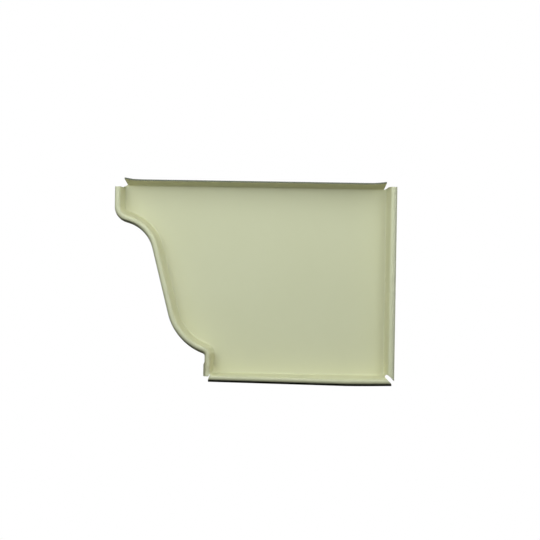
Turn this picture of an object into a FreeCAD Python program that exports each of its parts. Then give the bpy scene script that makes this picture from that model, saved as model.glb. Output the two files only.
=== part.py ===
import FreeCAD, Part
import math
import os
import Sketcher

# End cap for a 5-inch ogee gutter, right hand, folded from one painted aluminium sheet.
#
# Frame, in millimetres: +X towards the back of the gutter, +Y into the gutter, +Z up.
# The origin is the gutter's back bottom corner, outside, in the plane where the gutter's
# cut end seats in the fold of the channel.

SIZES = {
    # the gutter that the cap closes, outside
    "gutter_width": 127.0,
    "gutter_height": 88.9,
    "gutter_sheet": 0.7,
    # the cap's own sheet and its folds
    "sheet_thickness": 0.6,
    "slot_gap": 1.2,
    "bend_radius": 0.8,
    "tray_depth": 9.5,
    "wall_inset": 3.7,
    "skirt_depth": 10.0,
    "skirt_flare": 3.0,
    "panel_lap": 0.25,
    # the ogee, from the lip down; cove and belly are measured at the middle of the channel,
    # the shoulder at the edge of the flat panel and the toe at the outside of the fold
    "lip_drop": 9.7,
    "shoulder_radius": 2.15,
    "shoulder_turn": 72.5,
    "ledge_flat": 1.75,
    "cove_radius": 17.7,
    "cove_turn": 58.1,
    "belly_radius": 24.25,
    "belly_turn": 55.7,
    "toe_radius": 1.8,
    "riser_height": 11.0,
    # the top flange, and the ends of the rim beside it
    "flange_reach": 9.2,
    "flange_lean": 11.0,
    "flange_root_inset": 4.8,
    "flange_tip_inset": 3.3,
    "notch_wall_inset": 2.6,
    "notch_rise": 0.4,
    "lip_rim_drop": 1.0,
    "back_rim_rise": 1.0,
    # the skirt's ends run askew, higher at the mouth than at the fold
    "skirt_skew": 1.3,
    "riser_rim_bottom": 1.0,
    "back_rim_bottom": 0.1,
    # the slit between floor and back
    "slit_width": 2.0,
    "slit_inset": 2.25,
    "slit_lower_angle": 45.0,
    "slit_upper_angle": 40.0,
    # the kerf and the notch between riser and floor
    "kerf_width": 0.6,
    "kerf_inset": 1.9,
    "kerf_angle": 45.0,
    "floor_rim_inset": 1.75,
    "floor_rim_angle": 56.0,
    # how far a cut runs past what it cuts
    "cut_margin": 3.0,
}


class Size:
    """A number together with the sheet's expression that gives it."""

    def __init__(self, value, text):
        self.value = value
        self.text = text

    def __add__(self, other):
        return combine(self, "+", other, self.value + number(other))

    def __radd__(self, other):
        return combine(other, "+", self, number(other) + self.value)

    def __sub__(self, other):
        return combine(self, "-", other, self.value - number(other))

    def __rsub__(self, other):
        return combine(other, "-", self, number(other) - self.value)

    def __mul__(self, other):
        return combine(self, "*", other, self.value * number(other))

    def __rmul__(self, other):
        return combine(other, "*", self, number(other) * self.value)

    def __truediv__(self, other):
        return combine(self, "/", other, self.value / number(other))

    def __neg__(self):
        return Size(-self.value, f"(-{self.text})")


def number(term):
    return term.value if isinstance(term, Size) else float(term)


def text(term):
    return term.text if isinstance(term, Size) else str(term)


def combine(left, sign, right, value):
    return Size(value, f"({text(left)} {sign} {text(right)})")


NOTHING = Size(0.0, "0")


def sine(degrees):
    return Size(math.sin(math.radians(degrees.value)), f"sin({degrees.text} * 1 deg)")


def cosine(degrees):
    return Size(math.cos(math.radians(degrees.value)), f"cos({degrees.text} * 1 deg)")


class Cap:
    """The sizes of the cap by name, and those that follow from them."""

    def __init__(self):
        for name, value in SIZES.items():
            setattr(self, name, Size(value, f"Sizes.{name}"))
        self.slot_middle = self.gutter_sheet / 2
        self.fold_inner = self.slot_gap / 2
        self.fold_outer = self.fold_inner + self.sheet_thickness
        self.panel_front = self.tray_depth - self.sheet_thickness
        self.stub_inset = self.wall_inset + 2 * self.panel_lap
        self.panel_inset = self.wall_inset + self.panel_lap
        self.panel_top = self.gutter_height - self.bend_radius - self.panel_lap
        self.stub_bottom = self.panel_top - self.panel_lap
        self.lip_bottom = self.gutter_height - self.lip_drop
        self.lip_rim_top = self.gutter_height - self.lip_rim_drop
        self.back_rim_top = self.gutter_height + self.back_rim_rise
        self.ledge_slope = 90 - self.shoulder_turn
        self.flank_slope = self.ledge_slope + self.cove_turn
        self.belly_end_slope = self.flank_slope - self.belly_turn
        self.flank = self.flank_length()
        self.riser_x = self.ogee_run() + self.slot_middle - self.gutter_width
        self.through = 4 * self.skirt_depth

    def radii(self, inset):
        """Shoulder, cove, belly and toe radii of the outline at an inset from the slot."""
        shoulder = self.shoulder_radius + self.wall_inset - inset
        cove = self.cove_radius + inset
        belly = self.belly_radius - inset
        toe = self.toe_radius + self.fold_outer + inset
        return shoulder, cove, belly, toe

    def flank_length(self):
        """The straight flank takes what the other edges leave of the height."""
        shoulder, cove, belly, toe = self.radii(NOTHING)
        ledge, flank, end = self.ledge_slope, self.flank_slope, self.belly_end_slope
        drop = shoulder * cosine(ledge) + self.ledge_flat * sine(ledge)
        drop = drop + cove * (cosine(ledge) - cosine(flank))
        drop = drop + belly * (cosine(end) - cosine(flank)) + toe * cosine(end)
        return (self.lip_bottom - self.riser_height - drop) / sine(flank)

    def ogee_run(self):
        """Horizontal distance from the lip to the riser, along the middle of the slot."""
        shoulder, cove, belly, toe = self.radii(NOTHING)
        ledge, flank, end = self.ledge_slope, self.flank_slope, self.belly_end_slope
        run = shoulder * (1 - sine(ledge)) + self.ledge_flat * cosine(ledge)
        run = run + cove * (sine(flank) - sine(ledge)) + self.flank * cosine(flank)
        return run + belly * (sine(flank) - sine(end)) + toe * (1 - sine(end))

    def from_lip(self, inset):
        """Place across, counted inwards from the gutter's lip."""
        return inset - self.gutter_width

    def from_back(self, inset):
        """Place across, counted inwards from the gutter's back, where the origin is."""
        return NOTHING - inset


class Pen:
    """Draws lines and tangent arcs one after another, by the slope below the horizontal."""

    def __init__(self, x, z, slope):
        self.x = x
        self.z = z
        self.slope = slope

    def line(self, length):
        angle = math.radians(self.slope)
        start = FreeCAD.Vector(self.x, self.z, 0)
        self.x += length * math.cos(angle)
        self.z -= length * math.sin(angle)
        return Part.LineSegment(start, FreeCAD.Vector(self.x, self.z, 0))

    def arc(self, radius, turn):
        """A turn above zero bulges outwards, one below zero is hollow."""
        side = math.copysign(1, turn)
        angle = math.radians(self.slope)
        centre_x = self.x + side * radius * math.sin(angle)
        centre_z = self.z + side * radius * math.cos(angle)
        begin = -side * math.pi / 2 - angle
        end = begin + math.radians(turn)
        self.slope -= turn
        self.x = centre_x + radius * math.cos(end)
        self.z = centre_z + radius * math.sin(end)
        circle = Part.Circle(FreeCAD.Vector(centre_x, centre_z, 0), FreeCAD.Vector(0, 0, 1), radius)
        return Part.ArcOfCircle(circle, min(begin, end), max(begin, end))


def make_sheet(doc):
    sheet = doc.addObject("Spreadsheet::Sheet", "Sizes")
    for row, (name, value) in enumerate(SIZES.items(), start=1):
        sheet.set(f"A{row}", name)
        sheet.set(f"B{row}", str(value))
        sheet.setAlias(f"B{row}", name)
    doc.recompute()


def new_sketch(body, name, role):
    plane = next(feature for feature in body.Origin.OriginFeatures if feature.Role == role)
    sketch = body.newObject("Sketcher::SketchObject", name)
    sketch.AttachmentSupport = [(plane, "")]
    sketch.MapMode = "FlatFace"
    return sketch


def shift(sketch, axis, size):
    """Moves a sketch off its plane, along one of its own axes."""
    sketch.setExpression(f".AttachmentOffset.Base.{axis}", size.text)


def bind(sketch, name, size, kind, *where):
    """Adds a named constraint whose value follows the sheet."""
    value = math.radians(size.value) if kind == "Angle" else size.value
    index = sketch.addConstraint(Sketcher.Constraint(kind, *where, value))
    sketch.renameConstraint(index, name)
    sketch.setExpression(f"Constraints.{name}", size.text)


def rule(sketch, kind, *where):
    sketch.addConstraint(Sketcher.Constraint(kind, *where))


def place(sketch, name, edge, end, across, up):
    """Puts one end of an edge, or an arc's centre, at its coordinates."""
    bind(sketch, f"{name}_across", across, "DistanceX", -1, 1, edge, end)
    bind(sketch, f"{name}_up", up, "DistanceY", -1, 1, edge, end)


def draw_polygon(sketch, name, corners):
    """A closed outline of straight edges, with every corner bound to the sheet."""
    first = sketch.GeometryCount
    points = [FreeCAD.Vector(across.value, up.value, 0) for across, up in corners]
    count = len(points)
    for index in range(count):
        sketch.addGeometry(Part.LineSegment(points[index], points[(index + 1) % count]))
    for index, (across, up) in enumerate(corners):
        rule(sketch, "Coincident", first + index, 2, first + (index + 1) % count, 1)
        place(sketch, f"{name}_{index}", first + index, 1, across, up)


# The gutter's outline

LIP, SHOULDER, LEDGE, COVE, FLANK, BELLY, TOE, RISER, FLOOR, BACK = range(10)
START, END, CENTRE = 1, 2, 3


def draw_outline(sketch, cap, inset, lip_top, back_top):
    """Lip, shoulder, ledge, cove, flank, belly, toe, riser, floor and back, at an inset."""
    shoulder, cove, belly, toe = cap.radii(inset)
    lip_x = inset + cap.slot_middle - cap.gutter_width
    edge_inset = cap.slot_middle + inset
    pen = Pen(lip_x.value, lip_top.value, 90)
    sketch.addGeometry(pen.line(lip_top.value - cap.lip_bottom.value))
    sketch.addGeometry(pen.arc(shoulder.value, cap.shoulder_turn.value))
    sketch.addGeometry(pen.line(cap.ledge_flat.value))
    sketch.addGeometry(pen.arc(cove.value, -cap.cove_turn.value))
    sketch.addGeometry(pen.line(cap.flank.value))
    sketch.addGeometry(pen.arc(belly.value, cap.belly_turn.value))
    sketch.addGeometry(pen.arc(toe.value, pen.slope - 90))
    sketch.addGeometry(pen.line(pen.z - edge_inset.value))
    pen.slope = 0
    sketch.addGeometry(pen.line(-edge_inset.value - pen.x))
    pen.slope = -90
    sketch.addGeometry(pen.line(back_top.value - edge_inset.value))
    join_outline(sketch)
    bind(sketch, "shoulder_bend", shoulder, "Radius", SHOULDER)
    bind(sketch, "cove_bend", cove, "Radius", COVE)
    bind(sketch, "belly_bend", belly, "Radius", BELLY)
    bind(sketch, "toe_bend", toe, "Radius", TOE)
    bind(sketch, "shoulder_sweep", cap.shoulder_turn, "Angle", SHOULDER)
    bind(sketch, "cove_sweep", cap.cove_turn, "Angle", COVE)
    bind(sketch, "belly_sweep", cap.belly_turn, "Angle", BELLY)
    bind(sketch, "ledge_run", cap.ledge_flat, "Distance", LEDGE)
    place(sketch, "lip_start", LIP, START, lip_x, lip_top)
    bind(sketch, "lip_end", cap.lip_bottom, "DistanceY", -1, 1, LIP, END)
    bind(sketch, "riser_start", cap.riser_height, "DistanceY", -1, 1, RISER, START)
    place(sketch, "corner", BACK, START, -edge_inset, edge_inset)
    bind(sketch, "back_end", back_top, "DistanceY", -1, 1, BACK, END)


def join_outline(sketch):
    """Smooth joints along the ogee, and sharp corners at both ends of the floor."""
    rule(sketch, "Tangent", LIP, END, SHOULDER, START)
    rule(sketch, "Tangent", SHOULDER, END, LEDGE, START)
    rule(sketch, "Tangent", LEDGE, END, COVE, END)
    rule(sketch, "Tangent", COVE, START, FLANK, START)
    rule(sketch, "Tangent", FLANK, END, BELLY, START)
    rule(sketch, "Tangent", BELLY, END, TOE, END)
    rule(sketch, "Tangent", TOE, START, RISER, START)
    rule(sketch, "Coincident", RISER, END, FLOOR, START)
    rule(sketch, "Coincident", FLOOR, END, BACK, START)
    for edge in (LIP, RISER, BACK):
        rule(sketch, "Vertical", edge)
    rule(sketch, "Horizontal", FLOOR)


# The folded rim

def fold_section(cap):
    """Centres and tangent angles of the section: across is outwards, up is into the gutter."""
    bend_y = cap.panel_front.value - cap.bend_radius.value
    rise = bend_y - cap.fold_inner.value
    inset = cap.wall_inset.value
    reach = cap.bend_radius.value + cap.fold_outer.value
    draft = math.acos(reach / math.hypot(inset, rise)) - math.atan2(rise, inset)
    bend = FreeCAD.Vector(-inset, bend_y, 0)
    fold = FreeCAD.Vector(0, cap.fold_inner.value, 0)
    return bend, fold, draft, math.radians(cap.skirt_flare.value)


def on_circle(centre, radius, angle):
    return centre + FreeCAD.Vector(math.cos(angle), math.sin(angle), 0) * radius


def draw_arc(sketch, centre, radius, begin, end):
    circle = Part.Circle(centre, FreeCAD.Vector(0, 0, 1), radius)
    sketch.addGeometry(Part.ArcOfCircle(circle, begin, end))


def draw_section(sketch, cap):
    """The sheet in section: stub of the panel, bend, inner wall, full-round fold, skirt."""
    bend, fold, draft, flare = fold_section(cap)
    inner, outer = cap.fold_inner.value, cap.fold_outer.value
    tight, wide = cap.bend_radius.value, cap.bend_radius.value + cap.sheet_thickness.value
    stub = -cap.stub_inset.value
    front, back = cap.panel_front.value, cap.tray_depth.value
    wall_angle, skirt_angle = math.pi + draft, 2 * math.pi - flare
    along = FreeCAD.Vector(math.sin(flare), math.cos(flare), 0)
    skirt_start = on_circle(fold, outer, skirt_angle)
    skirt_end = skirt_start + along * ((cap.skirt_depth.value - skirt_start.y) / along.y)
    across = FreeCAD.Vector(along.y, -along.x, 0) * cap.sheet_thickness.value
    line = Part.LineSegment
    sketch.addGeometry(line(FreeCAD.Vector(stub, front, 0), FreeCAD.Vector(bend.x, front, 0)))
    draw_arc(sketch, bend, tight, draft, math.pi / 2)
    sketch.addGeometry(line(on_circle(bend, tight, draft), on_circle(fold, outer, wall_angle)))
    draw_arc(sketch, fold, outer, wall_angle, skirt_angle)
    sketch.addGeometry(line(skirt_start, skirt_end))
    sketch.addGeometry(line(skirt_end, skirt_end - across))
    sketch.addGeometry(line(skirt_end - across, on_circle(fold, inner, skirt_angle)))
    draw_arc(sketch, fold, inner, wall_angle, skirt_angle)
    sketch.addGeometry(line(on_circle(fold, inner, wall_angle), on_circle(bend, wide, draft)))
    draw_arc(sketch, bend, wide, draft, math.pi / 2)
    sketch.addGeometry(line(FreeCAD.Vector(bend.x, back, 0), FreeCAD.Vector(stub, back, 0)))
    sketch.addGeometry(line(FreeCAD.Vector(stub, back, 0), FreeCAD.Vector(stub, front, 0)))


(PANEL_FRONT, BEND_TIGHT, WALL_TRAY, FOLD_OUTER, SKIRT_OUTER, SKIRT_EDGE,
 SKIRT_INNER, FOLD_INNER, WALL_SLOT, BEND_WIDE, PANEL_BACK, STUB_END) = range(12)


def constrain_section(sketch, cap):
    rule(sketch, "Tangent", PANEL_FRONT, END, BEND_TIGHT, END)
    rule(sketch, "Tangent", BEND_TIGHT, START, WALL_TRAY, START)
    rule(sketch, "Tangent", WALL_TRAY, END, FOLD_OUTER, START)
    rule(sketch, "Tangent", FOLD_OUTER, END, SKIRT_OUTER, START)
    rule(sketch, "Coincident", SKIRT_OUTER, END, SKIRT_EDGE, START)
    rule(sketch, "Coincident", SKIRT_EDGE, END, SKIRT_INNER, START)
    rule(sketch, "Tangent", SKIRT_INNER, END, FOLD_INNER, END)
    rule(sketch, "Tangent", FOLD_INNER, START, WALL_SLOT, START)
    rule(sketch, "Tangent", WALL_SLOT, END, BEND_WIDE, START)
    rule(sketch, "Tangent", BEND_WIDE, END, PANEL_BACK, START)
    rule(sketch, "Coincident", PANEL_BACK, END, STUB_END, START)
    rule(sketch, "Coincident", STUB_END, END, PANEL_FRONT, START)
    rule(sketch, "Coincident", BEND_WIDE, CENTRE, BEND_TIGHT, CENTRE)
    rule(sketch, "Coincident", FOLD_INNER, CENTRE, FOLD_OUTER, CENTRE)
    rule(sketch, "Horizontal", PANEL_FRONT)
    rule(sketch, "Horizontal", PANEL_BACK)
    rule(sketch, "Vertical", STUB_END)
    rule(sketch, "Parallel", SKIRT_INNER, SKIRT_OUTER)
    rule(sketch, "Perpendicular", SKIRT_EDGE, SKIRT_OUTER)
    rule(sketch, "PointOnObject", FOLD_OUTER, CENTRE, -2)
    bind(sketch, "inner_bend", cap.bend_radius, "Radius", BEND_TIGHT)
    bind(sketch, "outer_bend", cap.bend_radius + cap.sheet_thickness, "Radius", BEND_WIDE)
    bind(sketch, "outer_fold", cap.fold_outer, "Radius", FOLD_OUTER)
    bind(sketch, "inner_fold", cap.fold_inner, "Radius", FOLD_INNER)
    bind(sketch, "fold_up", cap.fold_inner, "DistanceY", -1, 1, FOLD_OUTER, CENTRE)
    bind(sketch, "bend_across", -cap.wall_inset, "DistanceX", -1, 1, BEND_TIGHT, CENTRE)
    place(sketch, "stub", PANEL_FRONT, START, -cap.stub_inset, cap.panel_front)
    bind(sketch, "flare", 90 - cap.skirt_flare, "Angle", SKIRT_OUTER)
    bind(sketch, "mouth_up", cap.skirt_depth, "DistanceY", -1, 1, SKIRT_OUTER, END)


def fold_rim(doc, body, cap):
    """The folded section swept down the ogee, along the floor and up the back."""
    lip_top = cap.lip_rim_top + cap.skirt_skew + cap.cut_margin
    back_top = cap.back_rim_top + cap.skirt_skew + cap.cut_margin
    path = new_sketch(body, "gutter_path", "XZ_Plane")
    draw_outline(path, cap, NOTHING, lip_top, back_top)
    section = new_sketch(body, "rim_section", "XY_Plane")
    draw_section(section, cap)
    constrain_section(section, cap)
    turned = FreeCAD.Rotation(FreeCAD.Vector(0, 1, 0), 180)
    section.AttachmentOffset = FreeCAD.Placement(FreeCAD.Vector(), turned)
    shift(section, "x", cap.slot_middle - cap.gutter_width)
    shift(section, "z", lip_top)
    doc.recompute()
    rim = body.newObject("PartDesign::AdditivePipe", "folded_rim")
    rim.Profile = section
    rim.Spine = (path, [])
    rim.Transition = "Right corner"
    doc.recompute()


# Panel and top flange

def add_panel(doc, body, cap):
    """The flat panel inside the rim, up to the bend of the top flange."""
    sketch = new_sketch(body, "panel_outline", "XZ_Plane")
    draw_outline(sketch, cap, cap.panel_inset, cap.panel_top, cap.panel_top)
    lip = sketch.Geometry[LIP].StartPoint
    back = sketch.Geometry[BACK].EndPoint
    top = sketch.addGeometry(Part.LineSegment(back, lip))
    rule(sketch, "Coincident", BACK, END, top, START)
    rule(sketch, "Coincident", top, END, LIP, START)
    shift(sketch, "z", -cap.tray_depth)
    doc.recompute()
    panel = body.newObject("PartDesign::Pad", "panel")
    panel.Profile = sketch
    panel.setExpression("Length", cap.sheet_thickness.text)
    doc.recompute()


(STUB_FRONT, TURN_TIGHT, UNDERSIDE, TIP, TOPSIDE, TURN_WIDE,
 STUB_BACK, STUB_FOOT, SHARP_CORNER) = range(9)


def draw_flange(sketch, cap):
    """The top flange in section: across is into the gutter, up is up."""
    front, back = cap.panel_front.value, cap.tray_depth.value
    tight = cap.bend_radius.value
    wide = tight + cap.sheet_thickness.value
    turn = math.pi / 2 - math.radians(cap.flange_lean.value)
    centre = FreeCAD.Vector(front - tight, cap.gutter_height.value - tight * math.tan(turn / 2), 0)
    foot = cap.stub_bottom.value
    along = FreeCAD.Vector(-math.sin(turn), math.cos(turn), 0)
    root = on_circle(centre, tight, turn)
    tip = root + along * ((root.x - front + cap.flange_reach.value) / -along.x)
    tip_top = tip + FreeCAD.Vector(along.y, -along.x, 0) * cap.sheet_thickness.value
    line = Part.LineSegment
    sketch.addGeometry(line(FreeCAD.Vector(front, foot, 0), FreeCAD.Vector(front, centre.y, 0)))
    draw_arc(sketch, centre, tight, 0, turn)
    sketch.addGeometry(line(root, tip))
    sketch.addGeometry(line(tip, tip_top))
    sketch.addGeometry(line(tip_top, on_circle(centre, wide, turn)))
    draw_arc(sketch, centre, wide, 0, turn)
    sketch.addGeometry(line(FreeCAD.Vector(back, centre.y, 0), FreeCAD.Vector(back, foot, 0)))
    sketch.addGeometry(line(FreeCAD.Vector(back, foot, 0), FreeCAD.Vector(front, foot, 0)))
    sketch.addGeometry(Part.Point(FreeCAD.Vector(front, cap.gutter_height.value, 0)))


def constrain_flange(sketch, cap):
    rule(sketch, "Tangent", STUB_FRONT, END, TURN_TIGHT, START)
    rule(sketch, "Tangent", TURN_TIGHT, END, UNDERSIDE, START)
    rule(sketch, "Coincident", UNDERSIDE, END, TIP, START)
    rule(sketch, "Coincident", TIP, END, TOPSIDE, START)
    rule(sketch, "Tangent", TOPSIDE, END, TURN_WIDE, END)
    rule(sketch, "Tangent", TURN_WIDE, START, STUB_BACK, START)
    rule(sketch, "Coincident", STUB_BACK, END, STUB_FOOT, START)
    rule(sketch, "Coincident", STUB_FOOT, END, STUB_FRONT, START)
    rule(sketch, "Coincident", TURN_WIDE, CENTRE, TURN_TIGHT, CENTRE)
    rule(sketch, "Vertical", STUB_FRONT)
    rule(sketch, "Vertical", STUB_BACK)
    rule(sketch, "Horizontal", STUB_FOOT)
    rule(sketch, "Parallel", TOPSIDE, UNDERSIDE)
    rule(sketch, "Perpendicular", TIP, UNDERSIDE)
    rule(sketch, "PointOnObject", SHARP_CORNER, START, UNDERSIDE)
    bind(sketch, "inner_bend", cap.bend_radius, "Radius", TURN_TIGHT)
    bind(sketch, "outer_bend", cap.bend_radius + cap.sheet_thickness, "Radius", TURN_WIDE)
    bind(sketch, "lean", 180 - cap.flange_lean, "Angle", UNDERSIDE)
    place(sketch, "foot", STUB_FRONT, START, cap.panel_front, cap.stub_bottom)
    place(sketch, "sharp_corner", SHARP_CORNER, START, cap.panel_front, cap.gutter_height)
    tip_y = cap.panel_front - cap.flange_reach
    bind(sketch, "tip_across", tip_y, "DistanceX", -1, 1, TIP, START)


def add_flange(doc, body, cap):
    """The single flange along the top, turned towards the viewer."""
    sketch = new_sketch(body, "flange_section", "YZ_Plane")
    draw_flange(sketch, cap)
    constrain_flange(sketch, cap)
    shift(sketch, "z", cap.flange_tip_inset - cap.gutter_width)
    doc.recompute()
    flange = body.newObject("PartDesign::Pad", "top_flange")
    flange.Profile = sketch
    flange.setExpression("Length", (cap.gutter_width - 2 * cap.flange_tip_inset).text)
    doc.recompute()


# Cuts

def cut(doc, body, name, sketch, length, side="One side", outwards=False):
    """Pockets a sketch; outwards is along its plane's own axis, else against it."""
    before = body.Shape.Volume
    pocket = body.newObject("PartDesign::Pocket", name)
    pocket.Profile = sketch
    pocket.SideType = side
    pocket.Reversed = outwards
    pocket.setExpression("Length", length.text)
    doc.recompute()
    if not body.Shape.Volume < before:
        raise RuntimeError(f"{name} takes nothing away")


def cut_rim_tops(doc, body, cap):
    """The inner wall and fold end level; the panel's corner runs up to the flange's root."""
    sketch = new_sketch(body, "rim_tops", "XZ_Plane")
    for name, across, top in (
        ("lip", cap.from_lip, cap.lip_rim_top),
        ("back", cap.from_back, cap.back_rim_top),
    ):
        ceiling = top + cap.skirt_skew + 2 * cap.cut_margin
        beyond_stub = cap.flange_root_inset + cap.stub_inset
        panel_corner = cap.gutter_height + cap.notch_rise
        draw_polygon(sketch, name, [
            (across(cap.slot_middle), top),
            (across(cap.notch_wall_inset), top),
            (across(cap.flange_root_inset), panel_corner),
            (across(beyond_stub), panel_corner),
            (across(beyond_stub), ceiling),
            (across(cap.slot_middle), ceiling),
        ])
    cut(doc, body, "rim_top_cut", sketch, cap.through, "Symmetric")


def cut_skirt_end(doc, body, cap, name, start_x, level, at_top, at_back):
    """One end of an upright skirt, askew: higher at the mouth than at the fold."""
    beyond = 2 * cap.cut_margin if at_top else -2 * cap.cut_margin
    sketch = new_sketch(body, f"{name}_end", "YZ_Plane")
    far = cap.skirt_depth + cap.cut_margin
    draw_polygon(sketch, name, [
        (-cap.cut_margin, level),
        (NOTHING, level),
        (cap.skirt_depth, level + cap.skirt_skew),
        (far, level + cap.skirt_skew),
        (far, level + cap.skirt_skew + beyond),
        (-cap.cut_margin, level + cap.skirt_skew + beyond),
    ])
    shift(sketch, "z", start_x)
    doc.recompute()
    cut(doc, body, f"{name}_cut", sketch, 2 * cap.cut_margin, outwards=at_back)


def cut_skirt_ends(doc, body, cap):
    lip_x = cap.from_lip(cap.slot_middle)
    back_x = cap.from_back(cap.slot_middle)
    for name, start_x, level, at_top, at_back in (
        ("lip_skirt_top", lip_x, cap.lip_rim_top, True, False),
        ("back_skirt_top", back_x, cap.back_rim_top, True, True),
        ("riser_skirt_foot", cap.riser_x, cap.riser_rim_bottom, False, False),
        ("back_skirt_foot", back_x, cap.back_rim_bottom, False, True),
    ):
        cut_skirt_end(doc, body, cap, name, start_x, level, at_top, at_back)


def draw_slit(sketch, name, centre, width, slopes, length):
    """A slit with a rounded inner end; slopes are the headings of its two sides, inwards."""
    across, up = centre
    middle = FreeCAD.Vector(across.value, up.value, 0)
    headings = [math.radians(slope.value) for slope in slopes]
    begin, end = headings[0] - math.pi / 2, headings[1] + math.pi / 2
    nears = [on_circle(middle, width.value / 2, angle) for angle in (begin, end)]
    fars = [on_circle(near, -length.value, way) for near, way in zip(nears, headings)]
    right, left, inner_end, closing = range(sketch.GeometryCount, sketch.GeometryCount + 4)
    sketch.addGeometry(Part.LineSegment(fars[0], nears[0]))
    sketch.addGeometry(Part.LineSegment(fars[1], nears[1]))
    draw_arc(sketch, middle, width.value / 2, begin, end)
    sketch.addGeometry(Part.LineSegment(fars[0], fars[1]))
    rule(sketch, "Tangent", right, END, inner_end, START)
    rule(sketch, "Tangent", left, END, inner_end, END)
    rule(sketch, "Coincident", right, START, closing, START)
    rule(sketch, "Coincident", left, START, closing, END)
    place(sketch, f"{name}_centre", inner_end, CENTRE, across, up)
    bind(sketch, f"{name}_round", width / 2, "Radius", inner_end)
    for side, edge, slope in (("right", right, slopes[0]), ("left", left, slopes[1])):
        bind(sketch, f"{name}_{side}_slope", slope, "Angle", edge)
        bind(sketch, f"{name}_{side}_run", length, "Distance", edge)


def cut_floor_corners(doc, body, cap):
    """The slit at the back corner, and the kerf and notch at the riser corner."""
    sketch = new_sketch(body, "floor_corners", "XZ_Plane")
    reach = 2 * cap.slit_inset + cap.cut_margin
    centre = (-cap.slit_inset, cap.slit_inset)
    slopes = (180 - cap.slit_upper_angle, 180 - cap.slit_lower_angle)
    draw_slit(sketch, "back_slit", centre, cap.slit_width, slopes, reach)
    cut(doc, body, "back_corner_slit", sketch, cap.through, "Symmetric")
    corner_x = cap.riser_x - cap.slot_middle
    kerf = new_sketch(body, "riser_kerf", "XZ_Plane")
    centre = (corner_x + cap.kerf_inset, cap.kerf_inset)
    slopes = (cap.kerf_angle, cap.kerf_angle)
    draw_slit(kerf, "kerf", centre, cap.kerf_width, slopes, reach)
    cut(doc, body, "riser_corner_kerf", kerf, cap.through, "Symmetric")
    notch = new_sketch(body, "riser_notch", "XZ_Plane")
    top = cap.riser_rim_bottom
    start_x = corner_x + cap.floor_rim_inset
    slope = sine(cap.floor_rim_angle) / cosine(cap.floor_rim_angle)
    draw_polygon(notch, "notch", [
        (start_x, top),
        (corner_x - cap.cut_margin, top),
        (corner_x - cap.cut_margin, -cap.cut_margin),
        (start_x - (top + cap.cut_margin) / slope, -cap.cut_margin),
    ])
    cut(doc, body, "riser_corner_notch", notch, cap.through, "Symmetric")


def cut_flange_ends(doc, body, cap):
    """In plan the flange is narrower at its root than at its tip."""
    sketch = new_sketch(body, "flange_ends", "XY_Plane")
    slope = (cap.flange_root_inset - cap.flange_tip_inset) / cap.flange_reach
    tip_inset = cap.flange_tip_inset - cap.panel_lap * slope
    tip_y = cap.panel_front - cap.flange_reach - cap.panel_lap
    back_y = cap.tray_depth + cap.panel_lap
    for name, across in (("lip", cap.from_lip), ("back", cap.from_back)):
        draw_polygon(sketch, name, [
            (across(cap.flange_root_inset), back_y),
            (across(cap.flange_root_inset), cap.panel_front),
            (across(tip_inset), tip_y),
            (across(tip_inset - cap.panel_lap), back_y),
        ])
    shift(sketch, "z", cap.gutter_height)
    doc.recompute()
    cut(doc, body, "flange_end_cut", sketch, cap.flange_reach, outwards=True)


def make_cap(doc):
    cap = Cap()
    body = doc.addObject("PartDesign::Body", "Body")
    body.Label = "end_cap"
    fold_rim(doc, body, cap)
    cut_rim_tops(doc, body, cap)
    cut_skirt_ends(doc, body, cap)
    add_panel(doc, body, cap)
    cut_floor_corners(doc, body, cap)
    add_flange(doc, body, cap)
    cut_flange_ends(doc, body, cap)
    body.Placement = FreeCAD.Placement()
    return body


def check(doc, bodies):
    for item in doc.Objects:
        if "Invalid" in item.State or "Error" in item.State:
            raise RuntimeError(f"{item.Name} is {item.State}")
    for body in bodies:
        if body.Shape.isNull() or not body.Shape.isValid():
            raise RuntimeError(f"{body.Label} has no valid shape")


def main():
    os.makedirs("parts", exist_ok=True)
    doc = FreeCAD.newDocument("gutter_end_cap")
    make_sheet(doc)
    bodies = [make_cap(doc)]
    doc.recompute()
    check(doc, bodies)
    for body in bodies:
        body.Shape.exportStep(f"parts/{body.Label}.step")
        print(body.Label, "volume", round(body.Shape.Volume, 1), "mm3,", body.Shape.BoundBox)


main()
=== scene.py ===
"""A gutter end cap: one painted aluminium sheet, folded round an ogee gutter's cut end.

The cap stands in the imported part's frame: +X towards the gutter's back, +Y into the gutter
and +Z up, with the gutter's back bottom corner at the origin. Sizes are in millimetres.
"""

import logging
import math
from dataclasses import dataclass, field
from enum import Enum
from typing import Callable

import bmesh
import bpy
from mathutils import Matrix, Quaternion, Vector

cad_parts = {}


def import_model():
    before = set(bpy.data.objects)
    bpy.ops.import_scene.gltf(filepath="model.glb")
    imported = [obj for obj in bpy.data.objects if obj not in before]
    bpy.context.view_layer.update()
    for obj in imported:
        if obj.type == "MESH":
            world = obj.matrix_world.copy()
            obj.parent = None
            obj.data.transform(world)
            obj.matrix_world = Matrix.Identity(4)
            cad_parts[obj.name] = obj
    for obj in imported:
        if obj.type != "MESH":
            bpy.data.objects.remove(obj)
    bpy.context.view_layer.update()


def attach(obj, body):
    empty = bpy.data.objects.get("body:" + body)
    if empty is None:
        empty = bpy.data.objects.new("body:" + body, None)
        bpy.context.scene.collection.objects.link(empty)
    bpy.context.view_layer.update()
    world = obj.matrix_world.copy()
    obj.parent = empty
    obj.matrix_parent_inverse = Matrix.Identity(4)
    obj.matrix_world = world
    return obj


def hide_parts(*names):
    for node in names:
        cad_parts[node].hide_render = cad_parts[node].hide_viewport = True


LOG = logging.getLogger("gutter_end_cap")
MM = 0.001
NODE = "end_cap"
BODY = "root"
BARE = 1  # place of the bare metal among the sheet's materials, after the coat
X_AXIS = Vector((1.0, 0.0, 0.0))
Y_AXIS = Vector((0.0, 1.0, 0.0))
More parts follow.
